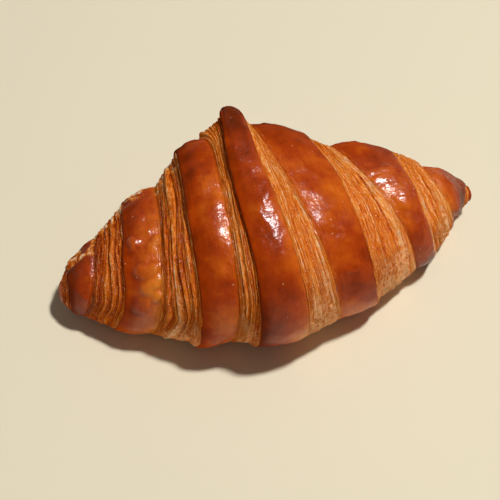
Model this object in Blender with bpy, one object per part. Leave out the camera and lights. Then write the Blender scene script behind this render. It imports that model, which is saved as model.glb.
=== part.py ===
"""A butter croissant: one solid, rolled up from a long triangle of laminated dough.

The frame is in metres: +X runs along the roll, +Z is up, and its flat browned base lies at z = 0.

The dough's two long edges leave the triangle's tip, which is tucked under the middle, and wind outwards
in opposite spirals. Each edge ends in a lip, with a laminated slope below it that runs down to a crease,
where the skin of the next turn comes out. The surface is therefore a spindle, the envelope at the level
of the lips, with the relief of those lips, slopes, creases and domed skins on it.
"""

import math

import bmesh
import bpy
import numpy as np

MM = 0.001

# The spindle
END_X = {"left": -80.6 * MM, "right": 84.2 * MM}
# (place along the roll, half width), in mm
HALF_WIDTH = ((-80.6, 6.2), (-66, 16.3), (-48, 28.6), (-28, 39.4), (-5, 44.9), (19, 38.3), (41, 31.6),
              (62, 20.7), (74, 11.6), (79, 6.9), (84.2, 5.4))
# (place along the roll, sideways place of its middle line), in mm
SPINE = ((-80.6, 0.8), (-48, -1.8), (-5, -2.4), (41, -1.6), (62, 2.2), (74, 4.9), (79, 7.0), (84.2, 6.0))
BELLY_ASPECT = 1.36  # height over half width at the belly
TIP_ASPECT = 1.86
SECTION_POWER = 2.25  # 2 is an ellipse, and more is squarer
BASE_CUT = 0.12  # share of the section's lower half that rests flat
CAP_LENGTH = 7.5 * MM  # the rounded end of each tip
TIP_LIFT = 6 * MM
LIFT_STARTS = 50 * MM

# The roll. A turn is counted from the back of the roll, over the top: 0.25 is on top, 0.5 in front.
TUCK_X = -6.3 * MM  # the triangle's tip, under the roll
TUCK_TURN = -0.25
TURNS = 4
# (turn, distance of the dough's edge from TUCK_X in mm)
EDGE_REACH = {
    "left": (
        (-0.25, 0), (0.07, 0.3), (0.12, 2.5), (0.18, 5.3), (0.25, 6.9), (0.5, 8.7), (1.07, 20.9),
        (1.25, 24.6), (1.5, 28.8), (2.07, 44.0), (2.25, 48.4), (2.5, 55.0), (3.07, 67.5), (3.3, 69.8),
        (4.75, 73.0),
    ),
    "right": (
        (-0.25, 0), (0.07, 3.7), (0.25, 4.5), (0.5, 8.7), (1.07, 26.3), (1.25, 31.8), (1.5, 37.5),
        (2.07, 59.6), (2.25, 60.6), (2.5, 65.5), (3.07, 87.8), (3.3, 87.4), (3.5, 84.8), (3.75, 85.6),
        (4.75, 88.0),
    ),
}
# (turn, width of the laminated slope in mm)
SLOPE_WIDTH = {
    "left": (
        (-0.25, 0), (0.0, 11.0), (0.07, 10.5), (0.13, 6.2), (0.25, 4.5), (0.5, 7.5), (1.07, 9.8),
        (1.25, 10.1), (1.5, 13.6), (2.07, 12.7), (2.25, 11.5), (2.5, 10.5), (3.07, 4.5), (3.75, 1.2),
        (4.75, 0.4),
    ),
    "right": (
        (-0.25, 0), (0.07, 2.8), (0.25, 7.8), (0.5, 12.6), (1.07, 9.5), (1.25, 14.2), (1.5, 19.0),
        (2.07, 10.5), (2.25, 12.2), (2.5, 13.8), (3.07, 1.2), (3.3, 1.6), (3.5, 4.2), (3.75, 3.0),
        (4.75, 0.3),
    ),
}
# (turn, drop from the lip to the crease in mm)
SLOPE_DROP = {
    "left": (
        (-0.25, 0), (0.07, 1.9), (0.25, 3.2), (0.5, 3.2), (0.75, 1.0), (1.07, 5.8), (1.25, 4.0),
        (1.5, 3.0), (1.75, 1.0), (2.07, 1.2), (2.25, 2.6), (2.5, 2.0), (2.75, 0.8), (3.07, 0.6),
        (3.5, 0.5), (4.75, 0),
    ),
    "right": (
        (-0.25, 0), (0.07, 2.2), (0.25, 2.4), (0.5, 0.8), (0.75, 0.8), (1.07, 4.4), (1.25, 3.6),
        (1.5, 3.6), (1.75, 1.0), (2.07, 5.0), (2.25, 3.6), (2.5, 4.5), (2.75, 1.5), (3.07, 0.8),
        (3.3, 1.0), (3.5, 1.6), (3.75, 1.0), (4.75, 0),
    ),
}
# How strong the relief is round the roll: the base flattens it, and so does the weight on the front
ROUND_RELIEF = ((-0.25, 0.25), (-0.1, 0.7), (0.05, 1), (0.28, 1), (0.4, 0.7), (0.5, 0.4), (0.75, 0.25))
LIP_OVERHANG = {"left": 0.9 * MM, "right": 0.4 * MM}
LIP_SHEER = {"left": 0.3, "right": 0.2}  # share of the drop that falls straight from the lip
LOW_SHEER = 0.35  # how much more of it does so at the foot of the front, under the two inner lips
# And the share at the foot of each slope, from the middle outwards
FOOT_SHEER = {"left": (0.12, 0.12, 0.12, 0.12), "right": (0.12, 0.12, 0.55, 0.3)}
DOME_HEIGHT = 0.7 * MM
BACK_BULGE = 1.9 * MM  # the right side's second band bulges over the back
BULGE_TURN = 0.09
BULGE_SPREAD = 0.1
FLAP_RISE = 5.0 * MM  # the middle band stands proud over the back
FLAP_TURN = 0.05
FLAP_SPREAD = 0.12
LAYER_PITCH = 4.0 * MM
LAYER_HEIGHT = 0.5 * MM
BASE_GROOVE = 0.8 * MM

# The mesh
ANGLE_STEPS = 40
MIDDLE_COLUMNS = 4
SLOPE_COLUMNS = 8
SKIN_COLUMNS = 7
END_SLOPE_COLUMNS = 3
END_COLUMNS = 5


def smooth_curve(knots, where):
    """A smooth curve through (place, value) knots, level beyond its ends."""
    places, values = np.array(knots, float).T
    slopes = np.gradient(values, places)
    where = np.clip(where, places[0], places[-1])
    i = np.clip(np.searchsorted(places, where) - 1, 0, len(places) - 2)
    span = places[i + 1] - places[i]
    t = (where - places[i]) / span
    return (
        (2 * t**3 - 3 * t**2 + 1) * values[i]
        + (t**3 - 2 * t**2 + t) * span * slopes[i]
        + (3 * t**2 - 2 * t**3) * values[i + 1]
        + (t**3 - t**2) * span * slopes[i + 1]
    )


def smoothstep(low, high, value):
    t = np.clip((value - low) / (high - low), 0, 1)
    return t * t * (3 - 2 * t)


def side_sign(side):
    return -1 if side == "left" else 1


# --- the spindle ---


def half_width(x):
    return smooth_curve(HALF_WIDTH, x / MM) * MM


def towards_end(x):
    """0 in the middle of the roll, 1 at either end."""
    return np.where(x < 0, x / END_X["left"], x / END_X["right"])


def half_height(x):
    share = np.clip((towards_end(x) - 0.5) / 0.5, 0, 1)
    aspect = BELLY_ASPECT + (TIP_ASPECT - BELLY_ASPECT) * share**1.5
    return half_width(x) * aspect / (2 - BASE_CUT)


def cap_scale(x):
    """Rounds off the tips: 1 along the roll, 0 at its ends."""
    to_end = np.minimum(END_X["right"] - x, x - END_X["left"])
    into = np.clip(1 - to_end / CAP_LENGTH, 0, 1)
    return np.sqrt(1 - into**2)


def spine(x):
    """Sideways place, lift and height of the roll's middle line."""
    y = smooth_curve(SPINE, x / MM) * MM
    lift = TIP_LIFT * np.clip((np.abs(x) - LIFT_STARTS) / (-END_X["left"] - LIFT_STARTS), 0, 1) ** 1.5
    return y, lift, (1 - BASE_CUT) * half_height(x)


def envelope_radius(x, angle):
    across = np.abs(np.cos(angle)) / half_width(x)
    upward = np.abs(np.sin(angle)) / half_height(x)
    return (across**SECTION_POWER + upward**SECTION_POWER) ** (-1 / SECTION_POWER)


# --- the roll ---


def edge_lines(turn, side):
    """For each turn of the roll, where its lip and its crease are at this place round it, outwards."""
    lines = []
    for k in range(TURNS):
        reach = smooth_curve(EDGE_REACH[side], turn + k) * MM
        width = smooth_curve(SLOPE_WIDTH[side], turn + k) * MM
        lines += [reach, reach + width]
    end = side_sign(side) * (END_X[side] - TUCK_X)
    return np.minimum(np.array([0.0, *lines]), end - 0.2 * MM), end


def zone_of(x, turn):
    """The zone of each point and how far across it: 0 is the middle, odd a slope and even a skin."""
    side = np.where(x < TUCK_X, 0, 1)
    zone = np.zeros(len(x), int)
    across = np.zeros(len(x))
    for s, name in enumerate(("left", "right")):
        lines, end = edge_lines(turn, name)
        lines = np.append(lines, end)
        away = np.abs(x - TUCK_X)
        i = np.clip(np.searchsorted(lines, away, side="right") - 1, 0, len(lines) - 2)
        t = (away - lines[i]) / np.maximum(lines[i + 1] - lines[i], 1e-6)
        zone = np.where(side == s, i, zone)
        across = np.where(side == s, t, across)
    return side, zone, np.clip(across, 0, 1)


def relief(x, turn):
    """How far each point lies above or below the envelope, and how far it shifts outwards."""
    side, zone, t = zone_of(x, turn)
    height = np.zeros(len(x))
    shift = np.zeros(len(x))
    strength = smooth_curve(ROUND_RELIEF, turn)
    flap = FLAP_RISE * math.exp(-(((turn - FLAP_TURN) / FLAP_SPREAD) ** 2))
    for s, name in enumerate(("left", "right")):
        overhang = side_sign(name) * LIP_OVERHANG[name] * strength
        lines, _ = edge_lines(turn, name)
        for k in range(TURNS + 1):
            # the skin inside lip k: it rises from the crease below lip k - 1
            here = (side == s) & (zone == 2 * k)
            start = smooth_curve(SLOPE_DROP[name], turn + k - 1) * MM
            dome = dome_height(name, k, turn, t[here])
            if k:
                height[here] = skin_height(t[here], start, dome)
            else:
                height[here] = flap + dome * np.cos(math.pi / 2 * t[here])
            if k < TURNS:
                shift[here] = overhang * smoothstep(0.8, 1, t[here])
            # the laminated slope from lip k down to crease k
            here = (side == s) & (zone == 2 * k + 1)
            if k < TURNS:
                drop = smooth_curve(SLOPE_DROP[name], turn + k) * MM
                width = lines[2 * k + 2] - lines[2 * k + 1]
                top = flap if k == 0 else 0.0
                sheer = lip_sheer(name, k, turn)
                height[here] = slope_height(t[here], drop, width, top, sheer, FOOT_SHEER[name][k])
                shift[here] = overhang * lip_curl(t[here]) * min(1, width / (3 * MM))
    return height, shift


def dome_height(side, k, turn, t):
    dome = DOME_HEIGHT * smooth_curve(ROUND_RELIEF, turn)
    if (side, k) == ("right", 1):
        dome = dome + BACK_BULGE * math.exp(-(((turn - BULGE_TURN) / BULGE_SPREAD) ** 2)) * t
    return dome


def skin_height(t, start, dome):
    """A skin rises from its crease at t = 0 to its lip at t = 1, a little domed."""
    return -start * (1 - t) ** 1.7 + dome * np.sin(math.pi * t) ** 0.9


def lip_sheer(side, k, turn):
    low = LOW_SHEER * smoothstep(0.43, 0.52, turn) * (1 - smoothstep(0.62, 0.7, turn))
    return LIP_SHEER[side] + (low if k < 2 else 0)


def slope_height(t, drop, width, top, sheer, foot):
    """Down from the lip: a sheer face, a slope in steps, one for each few layers, and a sheer foot."""
    fall = sheer * smoothstep(0, 0.1, t) + (1 - sheer - foot) * t + foot * smoothstep(0.85, 1, t)
    steps = max(1, round(width / LAYER_PITCH))
    layers = LAYER_HEIGHT * np.sin(2 * math.pi * steps * t) * np.sin(math.pi * t) ** 0.5
    return top - (drop + top) * fall - layers * min(1, drop / (2 * MM))


def lip_curl(t):
    """1 at the lip, a little under 0 just below it, and 0 from there on."""
    return 1 - smoothstep(0, 0.1, t) - 0.5 * smoothstep(0, 0.12, t) * (1 - smoothstep(0.12, 0.4, t))


# --- the surface ---


def column_places(turn):
    """The x of each column of the mesh at this place round the roll: the columns follow the spirals."""
    sides = []
    for name in ("left", "right"):
        lines, end = edge_lines(turn, name)
        counts = [MIDDLE_COLUMNS] + [SLOPE_COLUMNS, SKIN_COLUMNS] * (TURNS - 1) + [END_SLOPE_COLUMNS]
        places = [np.linspace(lines[i], lines[i + 1], n, endpoint=False) for i, n in enumerate(counts)]
        last = lines[-1]
        curve = np.sin(math.pi / 2 * np.linspace(0, 1, END_COLUMNS, endpoint=False))
        places.append(last + (end - last) * curve)
        sides.append(TUCK_X + side_sign(name) * np.concatenate(places))
    return np.concatenate([sides[0][::-1], sides[1][1:]])


def ring(turn):
    """The points of the surface along the roll at one place round it."""
    x = column_places(turn)
    height, shift = relief(x, turn)
    angle = turn * 2 * math.pi
    cap = cap_scale(x)
    radius = (envelope_radius(x, angle) + height) * cap
    y, lift, middle = spine(x)
    z = middle + radius * math.sin(angle)
    floor = BASE_GROOVE * np.clip(-height / (3 * MM), 0, 1) * cap
    return np.stack([x + shift * cap, y + radius * math.cos(angle), np.maximum(z, floor) + lift], axis=1)


def clear_scene():
    for obj in list(bpy.data.objects):
        bpy.data.objects.remove(obj, do_unlink=True)


def baked_crust():
    material = bpy.data.materials.new("baked_crust")
    material.use_nodes = True
    shader = material.node_tree.nodes["Principled BSDF"]
    shader.inputs["Base Color"].default_value = (0.42, 0.12, 0.02, 1)
    shader.inputs["Roughness"].default_value = 0.4
    shader.inputs["Metallic"].default_value = 0.0
    return material


def zip_rings(bm, last, first):
    """Joins two rings, from tip to tip, whose columns lie at different places along the roll."""
    i = j = 0
    while i + 1 < len(last) or j + 1 < len(first):
        on_last = j + 1 == len(first) or (i + 1 < len(last) and last[i + 1].co.x < first[j + 1].co.x)
        if on_last:
            bm.faces.new((last[i], first[j], last[i + 1]))
            i += 1
        else:
            bm.faces.new((last[i], first[j], first[j + 1]))
            j += 1


def centre_on_base(bm):
    """Moves the croissant until the middle of its length and width is over the origin."""
    places = np.array([v.co for v in bm.verts])
    middle = (places.min(axis=0) + places.max(axis=0)) / 2
    bmesh.ops.translate(bm, verts=bm.verts, vec=(-middle[0], -middle[1], 0))


def croissant():
    """Lofts the rings round the roll, joins the last to the first and closes each tip to a point."""
    bm = bmesh.new()
    rings = []
    for step in range(ANGLE_STEPS):
        points = ring(TUCK_TURN + (step + 0.5) / ANGLE_STEPS)
        rings.append([bm.verts.new(p) for p in points])
    for this, following in zip(rings, rings[1:], strict=False):
        for i in range(len(this) - 1):
            bm.faces.new((this[i], following[i], following[i + 1], this[i + 1]))
    zip_rings(bm, rings[-1], rings[0])
    for column, side in ((0, "left"), (-1, "right")):
        x = np.array([END_X[side]])
        y, lift, middle = spine(x)
        tip = bm.verts.new((x[0], y[0], middle[0] + lift[0]))
        for this, following in zip(rings, rings[1:] + rings[:1], strict=True):
            bm.faces.new((tip, following[column], this[column]))
    bmesh.ops.recalc_face_normals(bm, faces=bm.faces)
    centre_on_base(bm)
    mesh = bpy.data.meshes.new("croissant")
    bm.to_mesh(mesh)
    bm.free()
    mesh.shade_smooth()
    mesh.materials.append(baked_crust())
    return bpy.data.objects.new("croissant", mesh)


def main():
    clear_scene()
    collection = bpy.data.collections.new("croissant_parts")
    bpy.context.scene.collection.children.link(collection)
    collection.objects.link(croissant())


main()
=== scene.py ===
# A butter croissant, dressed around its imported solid: fine crust, flaky layers, glaze, floor, light
# and camera.
import itertools
import math

import bmesh
import bpy
import numpy as np
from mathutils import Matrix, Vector


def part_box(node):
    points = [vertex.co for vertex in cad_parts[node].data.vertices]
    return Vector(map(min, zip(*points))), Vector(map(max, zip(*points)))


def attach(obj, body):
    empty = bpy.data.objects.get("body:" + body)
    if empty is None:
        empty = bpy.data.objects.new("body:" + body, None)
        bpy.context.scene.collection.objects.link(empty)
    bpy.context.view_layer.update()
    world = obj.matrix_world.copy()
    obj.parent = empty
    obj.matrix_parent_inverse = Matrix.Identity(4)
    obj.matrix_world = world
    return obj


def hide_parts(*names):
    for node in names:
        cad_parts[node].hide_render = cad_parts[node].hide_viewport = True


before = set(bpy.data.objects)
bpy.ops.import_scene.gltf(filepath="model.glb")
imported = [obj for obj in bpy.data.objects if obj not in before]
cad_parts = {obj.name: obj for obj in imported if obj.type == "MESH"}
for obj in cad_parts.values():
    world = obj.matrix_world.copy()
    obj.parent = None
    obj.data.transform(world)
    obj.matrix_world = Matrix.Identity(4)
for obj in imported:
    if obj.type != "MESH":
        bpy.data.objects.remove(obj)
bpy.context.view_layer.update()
print("frame loaded")

mm = 0.001

# The spindle that the roll fills. Curves are (place, value) pairs, in mm.
spindle = {
    "ends": {"left": -80.6, "right": 84.2},
    "halfWidth": ((-80.6, 6.2), (-66, 16.3), (-48, 28.6), (-28, 39.4), (-5, 44.9), (19, 38.3), (41, 31.6),
                  (62, 20.7), (74, 11.6), (79, 6.9), (84.2, 5.4)),
    "middleLine": ((-80.6, 0.8), (-48, -1.8), (-5, -2.4), (41, -1.6), (62, 2.2), (74, 4.9), (79, 7.0),
                   (84.2, 6.0)),
    "bellyAspect": 1.36,
    "tipAspect": 1.86,
    "squareness": 2.25,
    "baseCut": 0.12,
    "capLength": 7.5,
    "tipLift": 6,
    "liftStarts": 50,
}

# The roll: how far each edge of the dough triangle has wound from its tucked tip, by turns, in mm.
# A turn starts at the back of the roll and goes over the top: 0.25 is on top and 0.5 in front.
roll = {
    "tuckX": -6.3,
    "tuckTurn": -0.25,
    "turns": 4,
    "reach": {
        "left": ((-0.25, 0), (0.07, 0.3), (0.12, 2.5), (0.18, 5.3), (0.25, 6.9), (0.5, 8.7), (1.07, 20.9),
                 (1.25, 24.6), (1.5, 28.8), (2.07, 44.0), (2.25, 48.4), (2.5, 55.0), (3.07, 67.5),
                 (3.3, 69.8), (4.75, 73.0)),
        "right": ((-0.25, 0), (0.07, 3.7), (0.25, 4.5), (0.5, 8.7), (1.07, 26.3), (1.25, 31.8), (1.5, 37.5),
                  (2.07, 59.6), (2.25, 60.6), (2.5, 65.5), (3.07, 87.8), (3.3, 87.4), (3.5, 84.8),
                  (3.75, 85.6), (4.75, 88.0)),
    },
    "slopeWidth": {
        "left": ((-0.25, 0), (0.0, 11.0), (0.07, 10.5), (0.13, 6.2), (0.25, 4.5), (0.5, 7.5), (1.07, 9.8),
                 (1.25, 10.1), (1.5, 13.6), (2.07, 12.7), (2.25, 11.5), (2.5, 10.5), (3.07, 4.5),
                 (3.75, 1.2), (4.75, 0.4)),
        "right": ((-0.25, 0), (0.07, 2.8), (0.25, 7.8), (0.5, 12.6), (1.07, 9.5), (1.25, 14.2), (1.5, 19.0),
                  (2.07, 10.5), (2.25, 12.2), (2.5, 13.8), (3.07, 1.2), (3.3, 1.6), (3.5, 4.2),
                  (3.75, 3.0), (4.75, 0.3)),
    },
    "drop": {
        "left": ((-0.25, 0), (0.07, 1.9), (0.25, 3.2), (0.5, 3.2), (0.75, 1.0), (1.07, 5.8), (1.25, 4.0),
                 (1.5, 3.0), (1.75, 1.0), (2.07, 1.2), (2.25, 2.6), (2.5, 2.0), (2.75, 0.8), (3.07, 0.6),
                 (3.5, 0.5), (4.75, 0)),
        "right": ((-0.25, 0), (0.07, 2.2), (0.25, 2.4), (0.5, 0.8), (0.75, 0.8), (1.07, 4.4), (1.25, 3.6),
                  (1.5, 3.6), (1.75, 1.0), (2.07, 5.0), (2.25, 3.6), (2.5, 4.5), (2.75, 1.5), (3.07, 0.8),
                  (3.3, 1.0), (3.5, 1.6), (3.75, 1.0), (4.75, 0)),
    },
    "strength": ((-0.25, 0.25), (-0.1, 0.7), (0.05, 1), (0.28, 1), (0.4, 0.7), (0.5, 0.4), (0.75, 0.25)),
    "overhang": {"left": 0.9, "right": 0.4},
    "lipSheer": {"left": 0.3, "right": 0.2},
    "lowSheer": 0.35,  # how much steeper the lips are at the foot of the front
    "lowTurns": (0.43, 0.52, 0.62, 0.7),  # where that begins, is full, fades and ends
    "footSheer": {"left": (0.12, 0.12, 0.12, 0.12), "right": (0.12, 0.12, 0.55, 0.3)},
    "domeHeight": 0.7,
    "backBulge": (1.9, 0.09, 0.1),  # of the right side's second band: height, its turn and its spread
    "flapRise": 5.0,
    "flapTurn": 0.05,
    "flapSpread": 0.12,
    "baseGroove": 0.8,
}

# The fine crust: how closely it is drawn, and how rough everything is, in mm. Soft swells are given as
# height, size and draw.
crust = {
    "rings": 202,
    "closeTurns": (-0.12, 0.0, 0.56, 0.66),  # where the rings lie closer together
    "skinSteps": 14,
    "strandSteps": (  # the points across a strand: place, share of its fall, rise and paleness, whose darker crevices are partly burnt and partly painted shade
        (0.0, 0.0, -1.0, 0.0),
        (0.25, 0.1, 0.0, 0.45),
        (0.62, 0.3, 0.55, 0.75),
        (0.9, 0.55, 1.0, 1.0),
    ),
    # the drifts: how much, over how many turns, and which draw
    "lipDrifts": ((0.45, 0.09, 1), (0.08, 0.022, 2)),
    "widthDrifts": ((0.4, 0.3, 4), (0.35, 0.13, 10), (0.3, 0.06, 5)),
    "crestDrift": (0.5, 0.08, 6),
    "gapDrift": (1.0, 0.07, 7),
    "jitter": (0.08, 0.006, 8),
    "toneDrift": (0.4, 0.12, 9),
    "lipRound": 0.4,
    "crest": {"perWidth": 0.3, "most": 0.6, "usual": 0.85, "softer": 0.5, "lean": 0.35},
    "crevice": {"least": 0.12, "perWidth": 0.2, "most": 0.8, "softer": 0.4, "lean": -0.45},
    "lipCrevice": {"left": 0.4, "right": 0.25},
    "foldedRidge": 0.4,  # how pale the foot of a strand is that hangs on to its neighbour
    "lipRidge": 0.2,
    "glazeRun": {"left": (0.1, 0.45), "right": (0.35, 0.55)},  # glaze over a slope's two borders
    "lump": (0.55, 15.0, 21),
    "ripple": (0.22, 5.5, 22),
    "pimple": (0.06, 2.0, 23),
    "skinOnly": 0.65,  # how much of these three the skin has to itself
    "calmest": 0.4,  # what is left of all of it under the roll
    "crumb": (0.28, 1.3, 24),
    "crumbTurns": (0.36, 0.5, 0.62, 0.7),
    "softTurns": (0.4, 0.5, 0.6, 0.68),  # where the strands melt into crumb
    "wrinkle": {"height": 0.35, "width": 4.5, "length": 12.0, "atLip": 0.3, "draw": 27},
    "warp": (2.5, 9.0, 26),  # how the wrinkles are pushed about
    "bandGap": 7.7,  # keeps the wrinkles of neighbouring bands apart
    "flake": (0.5, 1.3, 29),  # of the flaky rims along the back
    "blisters": {
        "count": 46,
        "sizes": (1.2, 3.4),
        "rises": (0.05, 0.13),  # over their size
        "turns": (0.02, 0.5),
        "places": (0.12, 0.9),
        "draw": 25,
    },
    "seed": 11,
}

# The larger swells of the glazed bands: side, band, turn, place across it, then length, width and
# height in mm.
bandWidth = 12  # of a common band
swellEdge = (0.8, 3.0, 28)  # how uneven the swells' outlines are
swells = (
    ("left", 2, 0.350, 0.56, 3.6, 3.2, 1.5),
    ("left", 2, 0.352, 0.22, 2.8, 2.3, 1.4),
    ("left", 2, 0.386, 0.12, 2.6, 2.2, 1.3),
    ("left", 2, 0.394, 0.42, 3.0, 2.8, 1.6),
    ("left", 2, 0.418, 0.18, 2.6, 2.4, 1.3),
    ("left", 2, 0.432, 0.60, 3.4, 3.0, 1.2),
    ("left", 2, 0.285, 0.16, 5.4, 2.0, 1.3),
    ("left", 2, 0.262, 0.80, 4.4, 1.8, 1.3),
    ("left", 3, 0.300, 0.18, 2.6, 1.4, 0.6),
    ("right", 1, 0.435, 0.48, 1.2, 2.2, 0.9),
    ("right", 1, 0.350, 0.30, 5.0, 2.6, 0.5),
    ("right", 1, 0.375, 0.55, 4.5, 2.6, 0.5),
    ("right", 2, 0.215, 0.50, 4.0, 5.0, 0.6),
    ("right", 2, 0.240, 0.26, 3.4, 4.0, 0.5),
    ("right", 2, 0.330, 0.40, 4.0, 4.0, 0.5),
)

# The strands that each slope shows, from its lip outwards: how wide each one is, and how pale.
strands = {
    "left": (
        {"widths": (0.6, 0.9, 0.5, 1.1, 0.6, 0.8, 0.5, 1.2, 0.7, 0.9, 1.3),
         "tones": (-0.2, -0.5, -0.1, -0.5, 0.2, -0.3, 0.3, 0.45, 0.0, 0.5, 0.4)},
        {"widths": (1.0, 0.6, 1.2, 0.6, 0.8, 0.9, 0.6, 2.2, 0.7, 0.6, 1.0, 0.6, 0.8, 1.0),
         "tones": (0.5, -0.2, -0.4, 0.2, -0.7, -0.2, -0.6, 0.7, -0.2, 0.2, -0.5, 0.1, -0.2, 0.3)},
        {"widths": (1.3, 0.6, 1.0, 0.6, 1.5, 0.6, 1.2, 0.7, 1.0, 0.6, 1.2, 0.8, 0.9),
         "tones": (0.6, -0.4, 0.1, -0.5, 0.4, -0.4, 0.2, -0.5, 0.3, -0.3, 0.2, -0.3, 0.1)},
        {"widths": (1.0, 0.7, 1.0, 0.6, 0.8), "tones": (0.0, -0.4, 0.2, -0.2, 0.1)},
    ),
    "right": (
        {"widths": (0.7, 1.1, 0.6, 1.6, 0.6, 0.9, 0.7, 1.1, 0.6, 0.9, 0.6, 1.7, 0.7, 0.8),
         "tones": (0.5, 0.1, -0.4, 0.3, -0.1, 0.5, -0.4, 0.3, -0.4, 0.3, -0.3, 0.85, 0.1, -0.2)},
        {"widths": (0.8, 1.0, 0.6, 1.2, 0.6, 0.9, 0.6, 1.1, 0.6, 0.9, 0.6, 1.3, 1.5, 1.3),
         "tones": (0.4, 0.0, -0.4, 0.3, -0.3, 0.3, -0.5, 0.2, -0.2, 0.3, -0.6, 0.85, 0.95, 0.9)},
        {"widths": (0.8, 1.1, 0.6, 1.4, 0.7, 1.0, 0.6, 1.3, 0.6, 1.1, 0.7, 1.3),
         "tones": (0.4, 0.1, -0.4, 0.5, -0.3, 0.3, -0.5, 0.35, -0.3, 0.2, -0.4, 0.45)},
        {"widths": (1.0, 0.7, 1.0, 0.8, 0.7), "tones": (0.2, -0.4, 0.3, -0.3, 0.2)},
    ),
}


def smoothCurve(knots, where):
    places, values = np.array(knots, float).T
    slopes = np.gradient(values, places)
    where = np.clip(where, places[0], places[-1])
    i = np.clip(np.searchsorted(places, where) - 1, 0, len(places) - 2)
    span = places[i + 1] - places[i]
    t = (where - places[i]) / span
    start = (2 * t**3 - 3 * t**2 + 1) * values[i] + (t**3 - 2 * t**2 + t) * span * slopes[i]
    return start + (3 * t**2 - 2 * t**3) * values[i + 1] + (t**3 - t**2) * span * slopes[i + 1]


def ease(low, high, value):
    t = np.clip((value - low) / (high - low), 0, 1)
    return t * t * (3 - 2 * t)


def window(turn, start, full, fade, end):  # 1 from full to fade, and 0 before the start and after the end
    return ease(start, full, turn) * (1 - ease(fade, end, turn))


# The lattice of the noise stands askew to the roll, so that no weave shows.
askew = np.linalg.qr(np.array([[1.0, 0.7, 0.3], [-0.5, 1.0, 0.6], [0.2, -0.8, 1.0]]))[0]
noiseCells = 32
noiseGain = 1.8
laneGap = 10.37  # keeps the drifts of neighbouring lanes apart


def softNoise(points, size, seed):  # smooth random swells of about this size, from -1 to 1
    grid = np.random.default_rng(seed).uniform(-1, 1, (noiseCells, noiseCells, noiseCells))
    scaled = points / size @ askew
    cell = np.floor(scaled).astype(int)
    part = scaled - cell
    part = part * part * (3 - 2 * part)
    total = np.zeros(points.shape[:-1])
    for corner in itertools.product((0, 1), repeat=3):
        weight = np.prod(np.where(np.array(corner) == 1, part, 1 - part), axis=-1)
        i = (cell + np.array(corner)) % noiseCells
        total += weight * grid[i[..., 0], i[..., 1], i[..., 2]]
    return total * noiseGain


def roughen(points, height, size, draw):
    return height * softNoise(points, size, crust["seed"] + draw)


def wander(turn, lane, drifts):  # random drifts along the roll's turns, different in each lane
    turn, lane = np.broadcast_arrays(turn, lane)
    places = np.stack([turn, lane * laneGap, np.zeros(turn.shape)], axis=-1)
    total = np.zeros(turn.shape)
    for amount, size, draw in drifts:
        total += roughen(places, amount, np.array([size, 1, 1]), draw)
    return total


def halfWidth(x):
    return smoothCurve(spindle["halfWidth"], x)


def halfHeight(x):
    ends = spindle["ends"]
    share = np.clip((np.where(x < 0, x / ends["left"], x / ends["right"]) - 0.5) / 0.5, 0, 1)
    aspect = spindle["bellyAspect"] + (spindle["tipAspect"] - spindle["bellyAspect"]) * share**1.5
    return halfWidth(x) * aspect / (2 - spindle["baseCut"])


def capScale(x):
    toEnd = np.minimum(spindle["ends"]["right"] - x, x - spindle["ends"]["left"])
    into = np.clip(1 - toEnd / spindle["capLength"], 0, 1)
    return np.sqrt(1 - into**2)


def tipLift(x):
    reach = -spindle["ends"]["left"] - spindle["liftStarts"]
    return spindle["tipLift"] * np.clip((np.abs(x) - spindle["liftStarts"]) / reach, 0, 1) ** 1.5


def envelopeRadius(x, angle):
    power = spindle["squareness"]
    across = np.abs(np.cos(angle)) / halfWidth(x)
    upward = np.abs(np.sin(angle)) / halfHeight(x)
    return (across**power + upward**power) ** (-1 / power)


def edgeLines(side, turn):  # the lip and the crease of each turn, outwards from the tucked tip
    end = abs(spindle["ends"][side] - roll["tuckX"])
    lines = [np.zeros(turn.shape)]
    for k in range(roll["turns"]):
        lip = smoothCurve(roll["reach"][side], turn + k)
        lines += [lip, lip + smoothCurve(roll["slopeWidth"][side], turn + k)]
    return [np.minimum(line, end - 0.2) for line in lines] + [np.full(turn.shape, end)]


def flapHeight(turn):
    return roll["flapRise"] * np.exp(-(((turn - roll["flapTurn"]) / roll["flapSpread"]) ** 2))


def slopeDrop(side, turn):
    return smoothCurve(roll["drop"][side], turn)


def lipWobble(side, k, turn, detail):
    lane = {"left": 3.0, "right": 9.0}[side]
    return detail * wander(turn + k, lane, crust["lipDrifts"])


def skinBlock(side, k, turn, inner, outer, detail):  # one turn's glazed skin, from its crease to its lip
    steps = np.linspace(0, 1, crust["skinSteps"], endpoint=False)
    t = (1 - (1 - steps) ** 1.5)[None, :]
    width = (outer - inner)[:, None]
    strength = smoothCurve(roll["strength"], turn)[:, None]
    dome = roll["domeHeight"] * strength
    if (side, k) == ("right", 1):
        rise, at, spread = roll["backBulge"]
        dome = dome + rise * np.exp(-(((turn - at) / spread) ** 2))[:, None] * t
    if k:
        start = slopeDrop(side, turn + k - 1)[:, None]
        height = -start * (1 - t) ** 1.7 + dome * np.sin(math.pi * t) ** 0.9
        skin = 1 - crust["glazeRun"][side][1] * (1 - ease(0, 0.35, t)) * np.ones(height.shape)
    else:
        height = flapHeight(turn)[:, None] + dome * np.cos(math.pi / 2 * t)
        skin = np.ones(height.shape)
    toLip = (1 - t) * width
    shift = np.zeros(height.shape)
    if k < roll["turns"]:
        height = height - detail * crust["lipRound"] * (1 - ease(0, 1.1, toLip)) ** 2
        shift = roll["overhang"][side] * strength * ease(0.8, 1, t)
    return {
        "away": inner[:, None] + t * width,
        "height": height,
        "shift": shift,
        "skin": skin,
        "ridge": np.full(height.shape, 0.6),
        "tone": np.zeros(height.shape),
        "strand": np.broadcast_to(t * crust["skinSteps"], height.shape),
        "across": np.broadcast_to(t, height.shape),
        "band": np.full(height.shape, float(k)),
        "glazed": np.ones(height.shape),
    }


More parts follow.
